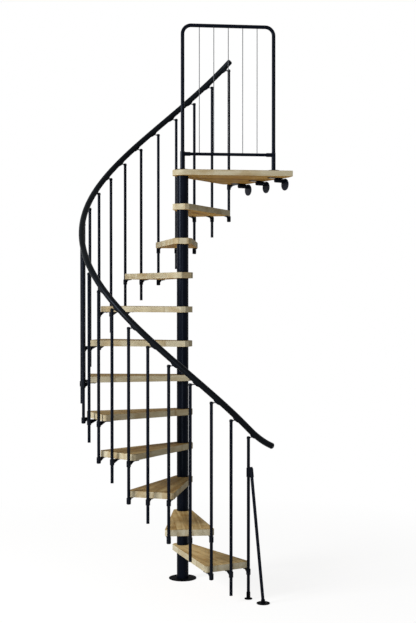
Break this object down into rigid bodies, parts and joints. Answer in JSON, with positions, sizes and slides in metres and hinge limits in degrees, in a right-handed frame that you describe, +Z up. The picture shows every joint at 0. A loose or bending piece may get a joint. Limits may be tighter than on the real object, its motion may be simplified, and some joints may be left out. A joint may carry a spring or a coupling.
{
  "type": "spiral staircase",
  "caption": "Spiral stair of wooden treads on a steel centre column, with a corner landing, rod balusters, a helical handrail and a landing railing.",
  "frame": {"origin": "centre of the base plate's underside, on the centre pole's axis, at floor level", "axes": "+Z up along the centre pole; +X towards the landing's railing post, +Y towards the back, where the stair arrives on the landing; the stair climbs clockwise seen from above"},
  "size_m": [1.4449, 1.3938, 3.747],
  "materials": {
    "beech": "satin varnish over edge-glued staves",
    "black_steel": "satin powder coat",
    "black_fittings": "satin moulded",
    "pole_steel": "galvanised",
    "handrail_plastic": "satin",
    "wire_steel": "satin"
  },
  "bodies": {
    "root": {"base_plate": "black_steel", "centre_pole": "pole_steel", "spacer_tubes": "black_steel", "tread_01": "beech", "tread_02": "beech", "tread_03": "beech", "tread_04": "beech", "tread_05": "beech", "tread_06": "beech", "tread_07": "beech", "tread_08": "beech", "tread_09": "beech", "tread_10": "beech", "tread_11": "beech", "landing": "beech", "front_brackets": "black_fittings", "middle_brackets": "black_fittings", "back_brackets": "black_fittings", "first_baluster": "black_steel", "first_baluster_foot": "black_steel", "corner_balusters": "black_steel", "middle_balusters": "black_steel", "brace_rod": "black_steel", "brace_clamp": "black_fittings", "brace_foot": "black_steel", "handrail_brackets": "black_fittings", "handrail_1": "handrail_plastic", "handrail_2": "handrail_plastic", "handrail_3": "handrail_plastic", "handrail_4": "handrail_plastic", "handrail_caps": "black_fittings", "railing_hoop": "black_steel", "railing_sleeves": "black_steel", "railing_flanges": "black_steel", "railing_crossbar": "black_steel", "railing_sockets": "black_steel", "railing_wires": "wire_steel", "anchor_plates": "black_steel", "anchor_bars": "black_steel", "anchor_discs": "black_steel"}
  },
  "joints": []
}
